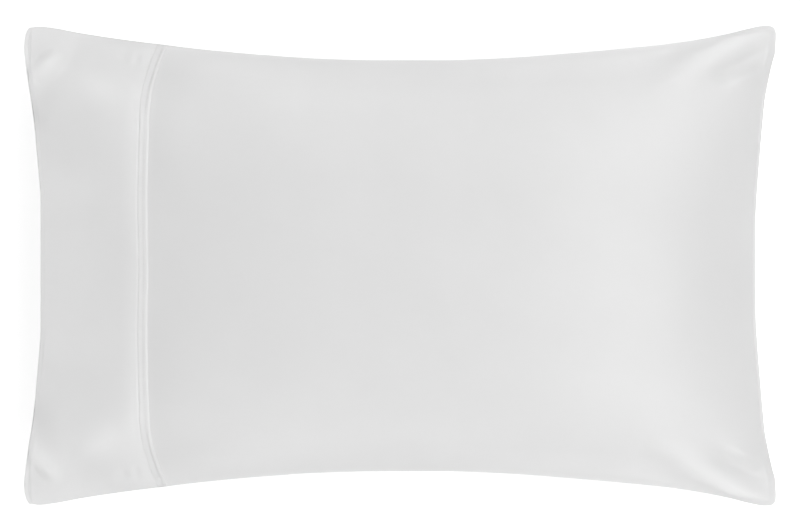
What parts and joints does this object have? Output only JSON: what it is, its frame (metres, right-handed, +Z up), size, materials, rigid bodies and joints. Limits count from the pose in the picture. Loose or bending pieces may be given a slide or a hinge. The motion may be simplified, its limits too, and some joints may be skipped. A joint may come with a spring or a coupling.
{
  "type": "pillowcase",
  "caption": "Filled cloth pillowcase lying on its back: crowned body, drawn-in sides, soft pointed corners, and an open end with a deep hem set off by a narrow stitched tuck.",
  "frame": {"origin": "middle of the footprint of the bounding box, on the surface that it lies on", "axes": "+X along the case from its open, hemmed end to its sewn end, +Y across it, +Z up through the crown"},
  "size_m": [0.7534, 0.4816, 0.1762],
  "materials": {
    "white_sateen": "plain white cotton sateen, smooth, with a soft sheen"
  },
  "bodies": {
    "root": {"pillowcase": "white_sateen"}
  },
  "joints": []
}
